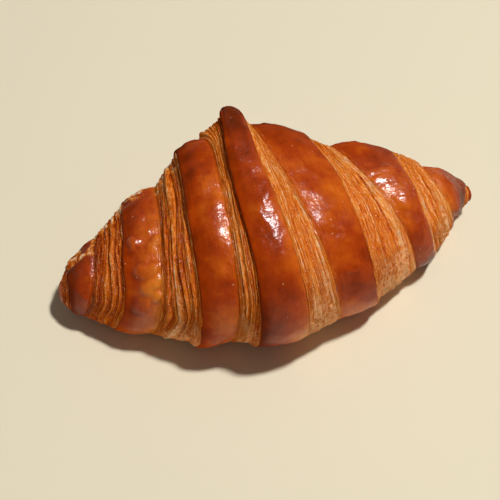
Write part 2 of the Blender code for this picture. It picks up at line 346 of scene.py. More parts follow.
def strandLines(lanes, turn, shares):  # how a slope is shared out among its strands at every ring, 0 to 1
    edges = np.cumsum(shares * np.exp(wander(turn[:, None], lanes, crust["widthDrifts"])), axis=1)
    return np.concatenate([np.zeros((len(turn), 1)), edges / edges[:, -1:]], axis=1)


def slopeBlock(side, k, turn, inner, outer, detail):  # the cut edge of the dough, strand upon strand
    design = strands[side][k]
    count = len(design["widths"])
    lanes = np.arange(count)[None, :] + {"left": 0, "right": 60}[side] + 15 * k
    lines = strandLines(lanes, turn, np.array(design["widths"])[None, :])
    falls = strandLines(lanes + 200, turn, np.ones((1, count)))
    drop = slopeDrop(side, turn + k)[:, None]
    strength = smoothCurve(roll["strength"], turn)[:, None]
    width = (outer - inner)[:, None]
    top = flapHeight(turn)[:, None] if k == 0 else 0.0
    crumbly = window(turn[:, None], *crust["softTurns"])
    low = roll["lowSheer"] * window(turn[:, None], *roll["lowTurns"])
    sheer = roll["lipSheer"][side] + low * (k < 2), roll["footSheer"][side][k]
    overLip, overCrease = crust["glazeRun"][side]
    crests, crevices = crust["crest"], crust["crevice"]
    blocks = []
    for j in range(count):
        lane = lanes[0, j]
        line, step = lines[:, j : j + 1], lines[:, j + 1 : j + 2] - lines[:, j : j + 1]
        parted = ease(-0.5, 0.5, wander(turn[:, None], lane, [crust["gapDrift"]]))
        crest = np.clip(crests["perWidth"] * step * width, 0, crests["most"])
        crest = crest * (1 - crests["softer"] * crumbly)
        crest = crest * (crests["usual"] + wander(turn[:, None], lane, [crust["crestDrift"]]))
        gap = parted * np.clip(crevices["least"] + crevices["perWidth"] * step * width, 0, crevices["most"])
        gap = gap * (1 - crevices["softer"] * crumbly)
        if j == 0:
            gap = crust["lipCrevice"][side] * (0.35 + 0.65 * strength) * np.clip(drop / 2, 0.3, 1)
        tone = design["tones"][j] + wander(turn[:, None], lane, [crust["toneDrift"]])
        for u, fallen, rise, pale in crust["strandSteps"]:
            t = line + u * step
            down = falls[:, j : j + 1] + fallen * (falls[:, j + 1 : j + 2] - falls[:, j : j + 1])
            fall = sheer[0] * ease(0, 0.1, t) + sheer[1] * ease(0.85, 1, t)
            fall = fall + (1 - sheer[0] - sheer[1]) * down
            relief = gap * rise if rise < 0 else crest * rise
            lean = crests["lean"] * crest * rise if rise > 0 else crevices["lean"] * np.minimum(gap, 0.5)
            jitter = wander(turn[:, None], lane + u, [crust["jitter"]]) * rise
            under = roll["overhang"][side] * strength * (0.25 if j == 0 and u == 0 else 0.0)
            run = overLip * (1 - ease(0, 0.25, t)) + overCrease * ease(0.7, 1, t)
            foot = crust["lipRidge"] if j == 0 else crust["foldedRidge"] * (1 - parted)
            blocks.append({
                "away": inner[:, None] + t * width,
                "height": top - (drop + top) * fall + detail * (relief + jitter),
                "shift": detail * (lean + jitter) + under,
                "skin": run,
                "ridge": np.full(t.shape, pale) + foot * (u == 0),
                "tone": tone,
                "strand": np.full(t.shape, j + u),
                "across": t,
                "band": np.full(t.shape, float(k)),
                "glazed": np.zeros(t.shape),
            })
    return {name: np.concatenate([b[name] for b in blocks], axis=1) for name in blocks[0]}


def sideGrid(side, turn, detail):
    lines = edgeLines(side, turn)
    blocks = []
    for k in range(roll["turns"]):
        lip = lines[2 * k + 1] + lipWobble(side, k, turn, detail) * ease(0, 4, lines[2 * k + 1])
        lip = np.minimum(lip, lines[-1] - 0.25)
        crease = np.maximum(lines[2 * k + 2], lip + 0.02)
        if k == roll["turns"] - 1:
            crease = np.minimum(crease, lines[-1] - 0.05)
        blocks.append(skinBlock(side, k, turn, inner if k else lines[0], lip, detail))
        blocks.append(slopeBlock(side, k, turn, lip, crease, detail))
        inner = crease
    blocks.append(skinBlock(side, roll["turns"], turn, inner, lines[-1], detail))
    passed = 0
    for block in blocks:
        block["strand"] = block["strand"] + passed
        passed = passed + math.ceil(block["strand"].max() - passed)
    grid = {name: np.concatenate([block[name] for block in blocks], axis=1) for name in blocks[0]}
    sign = -1 if side == "left" else 1
    grid["x"] = roll["tuckX"] + sign * grid.pop("away")
    grid["shift"] = grid["shift"] * sign
    grid["strand"] = grid["strand"] * sign
    grid["sign"] = np.full(grid["x"].shape, float(sign))
    return grid


def wholeGrid(turn, detail):
    left = sideGrid("left", turn, detail)
    right = sideGrid("right", turn, detail)
    return {name: np.concatenate([left[name][:, ::-1], right[name][:, 1:]], axis=1) for name in left}


def placePoints(grid, turn, extra):  # from roll coordinates to x, y, z in mm
    x = grid["x"]
    angle = turn[:, None] * 2 * math.pi
    cap = capScale(x)
    height = grid["height"]
    radius = (envelopeRadius(x, angle) + height + extra) * cap
    middle = (1 - spindle["baseCut"]) * halfHeight(x)
    y = smoothCurve(spindle["middleLine"], x) + radius * np.cos(angle)
    z = middle + radius * np.sin(angle)
    floorLevel = roll["baseGroove"] * np.clip(-height / 3, 0, 1) * cap
    return np.stack([x + grid["shift"] * cap, y, np.maximum(z, floorLevel) + tipLift(x)], axis=-1)


def wrinkleHeights(grid, points):  # long wrinkles round the roll, highest near the creases
    wrinkle = crust["wrinkle"]
    warp = roughen(points, *crust["warp"])
    flow = np.stack([points[..., 0] + warp, grid["girth"] + warp, grid["band"] * crust["bandGap"]], axis=-1)
    sizes = np.array([wrinkle["width"], wrinkle["length"], 1.0])
    folds = 1 - np.abs(softNoise(flow, sizes, crust["seed"] + wrinkle["draw"])) * 2
    fading = wrinkle["atLip"] + (1 - wrinkle["atLip"]) * (1 - ease(0.3, 0.9, grid["across"]))
    return wrinkle["height"] * np.clip(folds, -0.5, 1) * grid["skin"] * fading


def pillowHeights(grid, points, turn):  # the larger swells, with painted light on their tops and painted shade in the creases round them
    pillows = np.zeros(grid["skin"].shape)
    borders = np.zeros(grid["skin"].shape)
    uneven = roughen(points, *swellEdge)
    for side, k, at, place, size, width, rise in swells:
        here = (grid["sign"] == (-1 if side == "left" else 1)) & (grid["band"] == k)
        here = here & (grid["glazed"] > 0)
        along = (turn[:, None] - at) * 2 * math.pi * halfWidth(grid["x"])
        away = np.hypot(along / size, ((grid["across"] - place) * bandWidth + uneven) / width)
        pillows = np.maximum(pillows, rise * here * np.sqrt(np.clip(1 - away**2, 0, 1)))
        # the rings round each swell, where painted shade goes
        borders = np.maximum(borders, min(rise, 1) * here * ease(1.6, 1.0, away))
    grid["pillow"] = np.minimum(pillows, 1)
    grid["border"] = np.clip(borders - pillows, 0, 1)
    return pillows


def blisterHeights(grid, points, turn):  # small round blisters here and there on the front
    blisters = crust["blisters"]
    rng = np.random.default_rng(crust["seed"] + blisters["draw"])
    first, last = blisters["turns"]
    inner, outer = blisters["places"]
    front = (turn[:, None] > first) & (turn[:, None] < last)
    where = np.argwhere((grid["skin"] > 0.5) & front & (grid["across"] > inner) & (grid["across"] < outer))
    total = np.zeros(grid["skin"].shape)
    for pick in rng.choice(len(where), blisters["count"], replace=False):
        centre = points[tuple(where[pick])]
        size = rng.uniform(*blisters["sizes"])
        away = np.linalg.norm(points - centre, axis=-1) / size
        total += size * rng.uniform(*blisters["rises"]) * np.clip(1 - away**2, 0, 1) ** 2
    return total * grid["skin"]


def crustRelief(grid, points, turn):  # how far the fine relief stands above the plain roll, in mm
    skin = grid["skin"]
    extra = np.zeros(skin.shape)
    for kind in ("lump", "ripple", "pimple"):
        extra += roughen(points, *crust[kind]) * (1 - crust["skinOnly"] + crust["skinOnly"] * skin)
    low = window(turn[:, None], *crust["crumbTurns"])
    extra += roughen(points, *crust["crumb"]) * (1 - skin) * (0.25 + low)
    extra += wrinkleHeights(grid, points)
    extra += pillowHeights(grid, points, turn)
    extra += roughen(points, *crust["flake"]) * grid["rim"]
    extra += blisterHeights(grid, points, turn)
    strength = smoothCurve(roll["strength"], turn)[:, None]
    return extra * (crust["calmest"] + (1 - crust["calmest"]) * strength)


def spreadOut(mesh, points):  # the flat map of the crust: along the roll and round it
    rings, columns = points.shape[:2]
    steps = np.linalg.norm(np.diff(points, axis=1), axis=-1)
    along = np.concatenate([np.zeros((rings, 1)), np.cumsum(steps, axis=1)], axis=1)
    u = np.append((0.01 + 0.98 * along / along[:, -1:]).ravel(), (0.0, 1.0))
    v = np.append(np.repeat((np.arange(rings) + 0.5) / (rings + 1), columns), (0.5, 0.5))
    corners = np.zeros(len(mesh.loops), int)
    mesh.loops.foreach_get("vertex_index", corners)
    starts = np.zeros(len(mesh.polygons), int)
    mesh.polygons.foreach_get("loop_start", starts)
    face = np.searchsorted(starts, np.arange(len(corners)), side="right") - 1
    high = np.maximum.reduceat(np.where(corners < rings * columns, v[corners], 0), starts)
    place = np.stack([u[corners], v[corners]], axis=-1)
    wrapped = (high[face] > 0.9) & (place[:, 1] < 0.1)
    place[wrapped, 1] = (rings + 0.5) / (rings + 1)
    tips = corners >= rings * columns
    place[tips, 1] = high[face][tips]
    mesh.uv_layers.new(name="OFBake").data.foreach_set("uv", place.astype(np.float32).ravel())


def croissantMesh(name, grid, points):
    columns = points.shape[1]
    mesh = bpy.data.meshes.new(name)
    bm = bmesh.new()
    verts = [[bm.verts.new(p) for p in row] for row in points]
    for this, following in zip(verts, verts[1:], strict=False):
        for i in range(columns - 1):
            bm.faces.new((this[i], following[i], following[i + 1], this[i + 1]))
    last, first = verts[-1], verts[0]
    i = j = 0
    while i + 1 < columns or j + 1 < columns:
        if j + 1 == columns or (i + 1 < columns and last[i + 1].co.x < first[j + 1].co.x):
            bm.faces.new((last[i], first[j], last[i + 1]))
            i += 1
        else:
            bm.faces.new((last[i], first[j], first[j + 1]))
            j += 1
    for column in (0, -1):
        middle = points[:, column].mean(axis=0)
        tip = bm.verts.new(middle)
        for this, following in zip(verts, verts[1:] + verts[:1], strict=True):
            bm.faces.new((tip, following[column], this[column]))
    bmesh.ops.recalc_face_normals(bm, faces=bm.faces)
    bm.to_mesh(mesh)
    bm.free()
    mesh.shade_smooth()
    spreadOut(mesh, points)
    for key in ("skin", "ridge", "tone", "strand", "brownAndShade", "girth", "crumb", "shine"):
        ends = [grid[key][:, column].mean(keepdims=True) for column in (0, -1)]
        values = np.concatenate([grid[key].ravel(), *ends])
        attribute = mesh.attributes.new(key, "FLOAT", "POINT")
        attribute.data.foreach_set("value", values.astype(np.float32))
    return mesh


# How brown each glazed band is, 0 golden to 1 nearly black: at its crease, midway and at its lip, and
# how much more at the front, partly browning and partly painted shade. The darker tops are partly painted
# shade, the foot gets painted bounce light and the swells painted light and shade. The bands run from the
# middle outwards.
browningAndShading = {
    "left": (
        (0.62, 0.60, 0.69, 0.30),
        (0.40, 0.60, 0.72, 0.05),
        (0.26, 0.47, 0.70, 0.10),
        (0.58, 0.76, 0.95, -0.05),
        (0.55, 0.55, 0.60, 0.0),
    ),
    "right": (
        (0.62, 0.54, 0.35, 0.04),
        (0.44, 0.47, 0.51, 0.30),
        (0.24, 0.42, 0.52, 0.32),
        (0.38, 0.76, 0.82, 0.0),
        (0.70, 0.50, 0.40, 0.0),
    ),
    "slope": {"left": (0.40, 0.38, 0.82, 1.0, 0.5), "right": (0.21, 0.28, 0.22, 0.35, 0.4)},
    # darker tops: partly browning, partly painted shade on the back of the roll
    "topBrowningAndShade": {"left": (0.3, 0.26, 0.26, 0.26, 0.26), "right": (0.56, 0.32, 0.4, 0.05, 0.05)},
    # paler feet: painted bounce light from the floor
    "footBounceLight": {"left": (-0.02, 0.04, 0.12, -0.1, 0), "right": (0.32, 0.36, -0.15, 0, 0)},
    "frontTurns": (0.32, 0.46),
    "topTurns": (0.06, 0.3),
    "footTurns": (0.46, 0.54, 0.6, 0.7),
    "slopeTop": 0.4,  # how much of the darker top, partly browning and partly painted shade, the slopes share
    "blend": 11.0,  # how far the two halves of the middle band run into each other, in mm
    "patches": ((0.06, 11.0, 31), (0.03, 4.5, 32)),  # how much, how large in mm, and which draw
    "streaks": (0.08, 1.0, 33),  # how far streaks blur the shades across a band
    "streakSizes": (0.2, 14.0, 3.1),  # by the strand, in mm round the roll, and between bands
    # painted light on the swells' tops, and painted shade in the creases round them
    "swellTopLight": 0.07,
    "swellCreaseShade": 0.1,
    "tipDarker": 0.1,  # of the right tip
    "tipReach": (71, 79),
    "underDarker": 0.1,
    "underTurns": ((0.62, 0.75), (-0.25, -0.12)),
}


def crustBrowningAndShading(grid, points, turn):
    wide, long, gap = browningAndShading["streakSizes"]
    flow = np.stack([grid["strand"] * wide, grid["girth"] / long, grid["band"] * gap], axis=-1)
    across = grid["across"] + roughen(flow, *browningAndShading["streaks"])
    front = ease(*browningAndShading["frontTurns"], turn)[:, None]
    top = (1 - ease(*browningAndShading["topTurns"], turn))[:, None]
    top = top * np.where(grid["glazed"] > 0, 1, browningAndShading["slopeTop"])
    foot = window(turn[:, None], *browningAndShading["footTurns"])
    middle = (grid["band"] == 0) & (grid["glazed"] > 0)
    blend = ease(-browningAndShading["blend"], browningAndShading["blend"], grid["x"] - roll["tuckX"])
    rightness = np.where(middle, blend, (grid["sign"] > 0).astype(float))
    tone = np.zeros(grid["skin"].shape)
    for side, share in (("left", 1 - rightness), ("right", rightness)):
        for k, (atCrease, midway, atLip, frontBrownAndShade) in enumerate(browningAndShading[side]):
            shade = smoothCurve(((0, atCrease), (0.5, midway), (1, atLip)), across) + frontBrownAndShade * front
            shade = np.where(grid["glazed"] > 0, shade, browningAndShading["slope"][side][k])
            # the darker tops: painted shade, partly browning
            shade = shade + browningAndShading["topBrowningAndShade"][side][k] * top
            # painted bounce light at the foot
            shade = shade - browningAndShading["footBounceLight"][side][k] * foot
            tone += share * (grid["band"] == k) * shade
    for patch in browningAndShading["patches"]:
        tone = tone + roughen(points, *patch)
    tone = tone + browningAndShading["tipDarker"] * ease(*browningAndShading["tipReach"], grid["x"]) * grid["glazed"]
    # painted light on the swells' tops and painted shade in the creases round them
    tone = tone - browningAndShading["swellTopLight"] * grid["pillow"] + browningAndShading["swellCreaseShade"] * grid["border"]
    falling, rising = browningAndShading["underTurns"]
    under = (ease(*falling, turn) + 1 - ease(*rising, turn))[:, None]
    return np.clip(tone + browningAndShading["underDarker"] * np.clip(under, 0, 1), 0, 1)


# Where the cut layers are open and crumbly, and where the glaze is dull.
porous = {
    "strand": 0.5,
    "front": {"left": 0.3, "right": 0.8},
    # paler crumb at the foot, partly painted bounce light
    "foot": 0.5,
    "patch": (0.15, 6.0, 41),
    "frontTurns": (0.36, 0.5, 0.66, 0.74),
    "footTurns": (0.47, 0.53, 0.66, 0.74),
    "rim": 0.9,  # how flaky the outer left bands are along the back
    "rimTurns": (0.0, 0.06, 0.1, 0.15),
    "rimLater": 0.06,  # of the last band
    "rimUsual": 0.7,
    "rimPatch": (0.8, 3.0, 42),
    "rimTone": {"skin": 2.6, "slope": 1.4},
    "rimFleck": (2.6, 1.1, 43),
    "backShine": 0.12,
    "backTurns": (0.08, 0.22),
    "baseShine": 0.7,
    "baseTurns": (0.42, 0.56),
    "lipShine": 0.15,  # of the left side's lips
    "lipPlaces": ((0.5, 0.95), (0, 0.08)),  # where the dull lip begins on a band and ends on a slope
    "bandShine": {"left": (0.56, 0.6, 1.0, 0.8, 0.5), "right": (0.48, 0.33, 0.66, 0.6, 0.3)},
}


def flakeRims(grid, points, turn):  # the glaze gives way to pale flakes along the back of the left side
    outer = (grid["band"] >= 2) | (grid["glazed"] == 0) & (grid["band"] >= 1)
    place = turn[:, None] - porous["rimLater"] * (grid["band"] == roll["turns"] - 1)
    rim = window(place, *porous["rimTurns"]) * ((grid["sign"] < 0) & outer)
    rim = rim * np.clip(porous["rimUsual"] + roughen(points, *porous["rimPatch"]), 0, 1) * porous["rim"]
    grid["rim"] = rim
    grid["skin"] = grid["skin"] * (1 - rim)
    tones = porous["rimTone"]
    pale = np.where(grid["glazed"] > 0, tones["skin"], tones["slope"])
    grid["tone"] = grid["tone"] + rim * (pale + roughen(points, *porous["rimFleck"]))


def crumbAndShine(grid, points, turn):
    low = window(turn[:, None], *porous["frontTurns"])
    foot = window(turn[:, None], *porous["footTurns"])
    crumb = np.where(grid["sign"] < 0, porous["front"]["left"], porous["front"]["right"]) * low
    # paler crumb at the foot, partly painted bounce light
    crumb = crumb + porous["foot"] * foot * (grid["band"] < 2)
    crumb = crumb + roughen(points, *porous["patch"])
    crumb = crumb + porous["strand"] * ease(0.5, 0.8, grid["tone"])
    back = (1 - porous["backShine"]) * (1 - ease(*porous["backTurns"], turn))
    shine = 1 - back - (1 - porous["baseShine"]) * ease(*porous["baseTurns"], turn)
    across = grid["across"]
    onBand, onSlope = porous["lipPlaces"]
    atLip = np.where(grid["skin"] > 0.9, ease(*onBand, across), 1 - ease(*onSlope, across))
    dull = (1 - porous["lipShine"]) * atLip * (grid["sign"] < 0) * (1 - grid["pillow"])
    side = (grid["sign"] > 0).astype(int)
    bands = np.array([porous["bandShine"][name] for name in ("left", "right")])
    glossy = np.where(grid["glazed"] > 0, bands[side, grid["band"].astype(int)], 1)
    glossy = glossy + (1 - glossy) * ease(*porous["baseTurns"], turn)[:, None]
    return crumb * (1 - grid["skin"]), np.clip(shine[:, None] * (1 - dull) * glossy, 0, 1)


def feed(tree, socket, value):  # a number, a colour, a vector or another node's output
    if isinstance(value, (int, float)):
        socket.default_value = value
    elif isinstance(value, tuple):
        socket.default_value = (*value, 1) if socket.type == "RGBA" else value
    else:
        tree.links.new(value, socket)


def readAttribute(tree, name):
    made = tree.nodes.new("ShaderNodeAttribute")
    made.attribute_name = name
    return made.outputs["Fac"]


def mathNode(tree, operation, *values, clamp=False):
    made = tree.nodes.new("ShaderNodeMath")
    made.operation = operation
    made.use_clamp = clamp
    for i, value in enumerate(values):
        feed(tree, made.inputs[i], value)
    return made.outputs[0]


def times(tree, first, second, clamp=False):
    return mathNode(tree, "MULTIPLY", first, second, clamp=clamp)


def vectorNode(tree, operation, first, second):
    made = tree.nodes.new("ShaderNodeVectorMath")
    made.operation = operation
    feed(tree, made.inputs[0], first)
    feed(tree, made.inputs["Scale" if operation == "SCALE" else 1], second)
    return made.outputs[0]


def mixColor(tree, factor, first, second):
    made = tree.nodes.new("ShaderNodeMix")
    made.data_type = "RGBA"
    for i, value in ((0, factor), (6, first), (7, second)):
        feed(tree, made.inputs[i], value)
    return made.outputs[2]


def mixValue(tree, factor, first, second):
    made = tree.nodes.new("ShaderNodeMix")
    for i, value in ((0, factor), (2, first), (3, second)):
        feed(tree, made.inputs[i], value)
    return made.outputs[0]


def mapRange(tree, value, low, high, toLow=0.0, toHigh=1.0, smooth=False):
    made = tree.nodes.new("ShaderNodeMapRange")
    made.interpolation_type = "SMOOTHSTEP" if smooth else "LINEAR"
    for i, number in enumerate((value, low, high, toLow, toHigh)):
        feed(tree, made.inputs[i], number)
    return made.outputs["Result"]


def splitNode(tree, vector):
    made = tree.nodes.new("ShaderNodeSeparateXYZ")
    tree.links.new(vector, made.inputs[0])
    return made.outputs


def noiseNode(tree, vector, scale, detail, roughness):
    made = tree.nodes.new("ShaderNodeTexNoise")
    for name, value in (("Vector", vector), ("Scale", scale), ("Detail", detail), ("Roughness", roughness)):
        feed(tree, made.inputs[name], value)
    return made.outputs


def voronoi(tree, vector, scale, feature="F1"):
    made = tree.nodes.new("ShaderNodeTexVoronoi")
    made.feature = feature
    feed(tree, made.inputs["Vector"], vector)
    feed(tree, made.inputs["Scale"], scale)
    return made.outputs


def rampNode(tree, value, stops):
    made = tree.nodes.new("ShaderNodeValToRGB")
    ramp = made.color_ramp
    while len(ramp.elements) < len(stops):
        ramp.elements.new(0.5)
    for element, (place, color) in zip(ramp.elements, stops, strict=True):
        element.position = place
        element.color = (*color, 1)
    tree.links.new(value, made.inputs["Fac"])
    return made.outputs["Color"]


def addUp(tree, fields, weights):  # the start plus every named field times its weight
    total = weights["start"]
    for name, weight in weights.items():
        if name != "start":
            total = mathNode(tree, "MULTIPLY_ADD", fields[name], weight, total)
    return total


# Colours are linear red, green and blue. Scales are by the metre.
crustLook = {
    "glazeStops": (
        (0.0, (0.74, 0.24, 0.020)),
        (0.3, (0.56, 0.105, 0.004)),
        (0.55, (0.36, 0.040, 0.0012)),
        (0.8, (0.19, 0.020, 0.001)),
        (1.0, (0.09, 0.014, 0.0015)),
    ),
    "strandStops": (
        (0.0, (0.20, 0.018, 0.001)),
        (0.25, (0.44, 0.060, 0.003)),
        (0.5, (0.67, 0.145, 0.008)),
        (0.72, (0.80, 0.26, 0.036)),
        (0.88, (0.88, 0.43, 0.14)),
        (1.0, (0.94, 0.68, 0.46)),
    ),
    "crumbStops": ((0.0, (0.50, 0.085, 0.009)), (0.45, (0.82, 0.265, 0.06)), (1.0, (0.96, 0.54, 0.28))),
    # pale flakes on the strands' crests, that also stand in as painted glints
    "flakeGlint": (0.96, 0.70, 0.42),
    "bubble": (0.80, 0.50, 0.30),
    # scale, detail and roughness: streaks across the strands first, then grains in the dough
    "streaks": {"streak": (1.5, 4, 0.6), "fibre": (4.2, 3, 0.65), "drift": (0.6, 2, 0.55)},
    "grains": {
        "grain": (1700, 3, 0.7),
        "mottle": (110, 5, 0.58),
        "freckle": (420, 3, 0.6),
        "dimple": (620, 2, 0.5),
        "swell": (230, 3, 0.45),
    },
    "streakLength": 0.06,
    "contrast": (0.34, 0.66),  # the middle of a noise that is spread out over 0 to 1
    "facets": 1900,
    "walls": {"scale": 350, "shakes": (500, 2, 0.5), "shaken": 0.0022, "thickness": (0.02, 0.26)},
    "pores": {"scale": 1150, "size": (0.1, 0.42)},
    "bubbles": {"scale": 260, "size": (0.05, 0.09), "rarity": 0.6, "paleness": 0.5},
    # what each of these adds up from
    "skinMask": {"start": -0.2, "skin": 1.0, "streak": 0.4},
    "crumbMask": {"start": -0.3, "crumb": 1.0, "streak": 0.25, "grain": 0.25},
    "shade": {"start": -0.605, "brownAndShade": 1.0, "mottle": 0.75, "freckle": 0.12, "streak": 0.04, "drift": 0.1},
    # the ridge weight here and in the crumb below darkens the crevices: partly burnt tone, partly painted
    # shade
    "paleness": {
        "start": -0.2,
        "tone": 0.22,
        "ridge": 0.32,
        "streak": 0.36,
        "fibre": 0.46,
        "drift": 0.32,
        "grain": 0.12,
        "brownAndShade": -0.4,
    },
    "airiness": {
        "start": -0.77,
        "grain": 0.36,
        "pores": 0.15,
        "walls": 0.5,
        "ridge": 0.2,
        "streak": 0.4,
        "crumb": 0.5,
    },
    "flakeGlints": {"start": 0.0, "facet": 1.0, "streak": 0.25},
    "roughness": {"start": 0.7, "swell": 0.2},
    "coat": {"start": 0.6, "mask": 0.3, "streak": 0.4, "crumbly": -0.1},
    "fibreHeights": {"start": 0.0, "streak": 0.16, "fibre": 0.1, "grain": 0.13, "honeycomb": 0.3},  # in mm
    "honeycomb": {"start": 0.0, "pores": 0.4, "walls": 1.0},
    "glazeHeights": {"start": 0.0, "dimple": 0.34, "swell": 0.66, "grain": 0.01, "bubbles": 0.04},
    # where each of these begins and is complete, and for some also its values there
    "skinEdge": (0.3, 0.65),
    "crumbEdge": (0.3, 0.8),
    "flakeGlintRarity": (0.92, 1.0),
    "flakeGlintSize": (0.25, 0.5, 1.0, 0.0),
    "flakeGlintRidges": (0.4, 0.9, 0.0, 0.8),
    "glints": (0.52, 0.68),  # which facets of the strands shine
    "glintRidges": (0.1, 0.8),
    "polish": (0.2, 0.9, 0.3, 1.0),  # dull glaze is smoother
    "openness": 0.85,  # how far the crumb's colour hides the strands
    "coatRoughness": 0.27,
    "coatIor": 1.42,
    "sparkle": (0.9, 0.1),  # how far the tiny facets of strands and of glaze lean
    "depth": {"weight": 0.2, "radius": (1.0, 0.35, 0.1), "scale": 0.0012},
}


def dough(tree):  # everything that the crust's colour, gloss and relief are mixed from
    coords = tree.nodes.new("ShaderNodeTexCoord").outputs["Object"]
    names = ("skin", "brownAndShade", "ridge", "tone", "strand", "girth", "crumb", "shine")
    fields = {name: readAttribute(tree, name) for name in names}
    # streaks follow the strands: short across them and long round the roll
    flow = tree.nodes.new("ShaderNodeCombineXYZ")
    tree.links.new(fields["strand"], flow.inputs["X"])
    tree.links.new(times(tree, fields["girth"], crustLook["streakLength"]), flow.inputs["Y"])
    for vector, kinds in ((flow.outputs[0], "streaks"), (coords, "grains")):
        for name, design in crustLook[kinds].items():
            fields[name] = noiseNode(tree, vector, *design)["Fac"]
    for name in ("streak", "fibre", "grain"):
        fields[name] = mapRange(tree, fields[name], *crustLook["contrast"])
    walls = crustLook["walls"]
    shake = noiseNode(tree, coords, *walls["shakes"])["Color"]
    uneven = vectorNode(tree, "ADD", coords, vectorNode(tree, "SCALE", shake, walls["shaken"]))
    edges = voronoi(tree, uneven, walls["scale"], "DISTANCE_TO_EDGE")["Distance"]
    fields["walls"] = mapRange(tree, edges, *walls["thickness"], 1.0, 0.0)
    pores = voronoi(tree, coords, crustLook["pores"]["scale"], "SMOOTH_F1")["Distance"]
    fields["pores"] = mapRange(tree, pores, *crustLook["pores"]["size"], smooth=True)
    bubbles = crustLook["bubbles"]
    cells = voronoi(tree, coords, bubbles["scale"])
    some = mathNode(tree, "GREATER_THAN", splitNode(tree, cells["Color"])["X"], bubbles["rarity"])
    dots = mapRange(tree, cells["Distance"], *bubbles["size"], 1.0, 0.0, smooth=True)
    fields["bubbles"] = times(tree, dots, some)
    for name, weights, edge in (("mask", "skinMask", "skinEdge"), ("crumbly", "crumbMask", "crumbEdge")):
        amount = addUp(tree, fields, crustLook[weights])
        fields[name] = mapRange(tree, amount, *crustLook[edge], smooth=True)
    fields["honeycomb"] = times(tree, fields["crumbly"], addUp(tree, fields, crustLook["honeycomb"]))
    # tiny facets, each with its own leaning
    facets = voronoi(tree, coords, crustLook["facets"])
    fields["leaning"], fields["facetEdge"] = facets["Color"], facets["Distance"]
    fields["facet"], fields["glint"] = splitNode(tree, facets["Color"])[:2]
    return fields


def bakedColor(tree, fields):
    glaze = rampNode(tree, addUp(tree, fields, crustLook["shade"]), crustLook["glazeStops"])
    dots = times(tree, fields["bubbles"], crustLook["bubbles"]["paleness"])
    glaze = mixColor(tree, dots, glaze, crustLook["bubble"])
    layers = rampNode(tree, addUp(tree, fields, crustLook["paleness"]), crustLook["strandStops"])
    crumb = rampNode(tree, addUp(tree, fields, crustLook["airiness"]), crustLook["crumbStops"])
    baked = mixColor(tree, times(tree, fields["crumbly"], crustLook["openness"]), layers, crumb)
    # pale flecks along the crests of the strands: partly pale flakes and partly painted glints
    flakeGlints = mapRange(tree, addUp(tree, fields, crustLook["flakeGlints"]), *crustLook["flakeGlintRarity"])
    flakeGlints = times(tree, flakeGlints, mapRange(tree, fields["facetEdge"], *crustLook["flakeGlintSize"]))
    flakeGlints = times(tree, flakeGlints, mapRange(tree, fields["ridge"], *crustLook["flakeGlintRidges"]))
    baked = mixColor(tree, flakeGlints, baked, crustLook["flakeGlint"])
    return mixColor(tree, fields["mask"], baked, glaze)


def coatWeight(tree, fields):  # all of the glaze shines, and of the strands only facets on their crests
    glinting = mapRange(tree, fields["glint"], *crustLook["glints"])
    glinting = times(tree, glinting, mapRange(tree, fields["ridge"], *crustLook["glintRidges"]))
    coat = addUp(tree, fields, crustLook["coat"])
    coat = times(tree, coat, mixValue(tree, fields["mask"], glinting, 1.0))
    return times(tree, coat, fields["shine"], clamp=True)


def fineRelief(tree, fields):
    polish = mapRange(tree, fields["shine"], *crustLook["polish"])
    polish = times(tree, addUp(tree, fields, crustLook["glazeHeights"]), polish)
    fibres = addUp(tree, fields, crustLook["fibreHeights"])
    bump = tree.nodes.new("ShaderNodeBump")
    feed(tree, bump.inputs["Strength"], 1.0)
    feed(tree, bump.inputs["Distance"], mm)
    feed(tree, bump.inputs["Height"], mixValue(tree, fields["mask"], fibres, polish))
    return bump.outputs["Normal"]


def facetNormal(tree, fields, normal):  # the facets lean every way, so that single flakes catch the light
    lean = vectorNode(tree, "SUBTRACT", fields["leaning"], (0.5, 0.5, 0.5))
    lean = vectorNode(tree, "SCALE", lean, mapRange(tree, fields["mask"], 0, 1, *crustLook["sparkle"]))
    made = tree.nodes.new("ShaderNodeVectorMath")
    made.operation = "NORMALIZE"
    feed(tree, made.inputs[0], vectorNode(tree, "ADD", normal, lean))
    return made.outputs[0]


def crustMaterial():
    material = bpy.data.materials.new("baked_crust")
    material.use_nodes = True
    tree = material.node_tree
    fields = dough(tree)
    normal = fineRelief(tree, fields)
    depth = crustLook["depth"]
    finish = {
        "Base Color": bakedColor(tree, fields),
        "Roughness": addUp(tree, fields, crustLook["roughness"]),
        "Specular IOR Level": 0.0,
        "Coat Weight": coatWeight(tree, fields),
        "Coat Roughness": crustLook["coatRoughness"],
        "Coat IOR": crustLook["coatIor"],
        "Subsurface Weight": depth["weight"],
        "Subsurface Radius": depth["radius"],
        "Subsurface Scale": depth["scale"],
        "Normal": normal,
        "Coat Normal": facetNormal(tree, fields, normal),
    }
    for name, value in finish.items():
        feed(tree, tree.nodes["Principled BSDF"].inputs[name], value)
    print("crust material", len(tree.nodes), "nodes")
    return material


def ringTurns():  # where the rings lie round the roll, closer together where the crust shows most
    fine = roll["tuckTurn"] + np.linspace(0, 1, 2001)
    total = np.cumsum(0.65 + 0.35 * window(fine, *crust["closeTurns"]))
    share = (np.arange(crust["rings"]) + 0.5) / crust["rings"]
    return np.interp(share, (total - total[0]) / (total[-1] - total[0]), fine)


